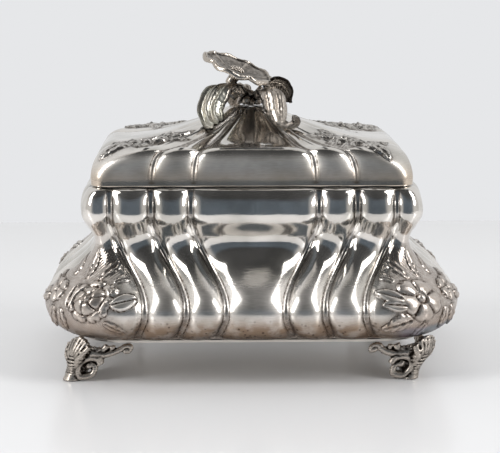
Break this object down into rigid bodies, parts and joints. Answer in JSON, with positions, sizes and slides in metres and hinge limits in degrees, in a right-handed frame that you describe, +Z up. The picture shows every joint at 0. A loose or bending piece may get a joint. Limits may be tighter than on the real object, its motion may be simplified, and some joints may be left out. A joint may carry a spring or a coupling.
{
  "type": "sugar box",
  "caption": "Lobed silver sugar box with S-shaped walls on cast scroll feet, with a hinged tent-shaped lid that carries a cast blossom and leaves.",
  "frame": {"origin": "on the table, under the middle of the box", "axes": "+Z up, front long side towards -Y, +X to the right of a person facing the front; the lid is hinged along the back long side"},
  "size_m": [0.16, 0.122, 0.1199],
  "materials": {
    "polished_silver": "polished sheet silver with tarnish in the flutes",
    "cast_silver": "chased cast silver, dark in the recesses",
    "inner_silver": "satin sheet silver inside and underneath",
    "fittings": "turned nickel silver"
  },
  "bodies": {
    "bowl": {"bowl_shell": "polished_silver", "bottom_plate": "inner_silver", "rim_bezel": "inner_silver", "foot_front_left": "cast_silver", "foot_front_right": "cast_silver", "foot_back_right": "cast_silver", "foot_back_left": "cast_silver", "hinge_leaf_bowl": "cast_silver", "hinge_pin": "fittings"},
    "lid": {"lid_shell": "polished_silver", "lid_band": "inner_silver", "hinge_leaf_lid": "cast_silver", "finial_stud": "fittings", "finial_washer": "fittings", "finial_nut": "fittings", "finial_stem": "cast_silver", "finial_blossom": "cast_silver", "finial_stamens": "cast_silver", "finial_leaf_left": "cast_silver", "finial_leaf_right": "cast_silver", "finial_leaf_back": "cast_silver", "finial_leaf_side": "cast_silver"}
  },
  "joints": [
    {"name": "lid_hinge", "type": "hinge", "parent": "bowl", "child": "lid", "pos_m": [0, 0.0443, 0.0739], "axis": [-1, 0, 0], "range_deg": [0, 105]}
  ]
}
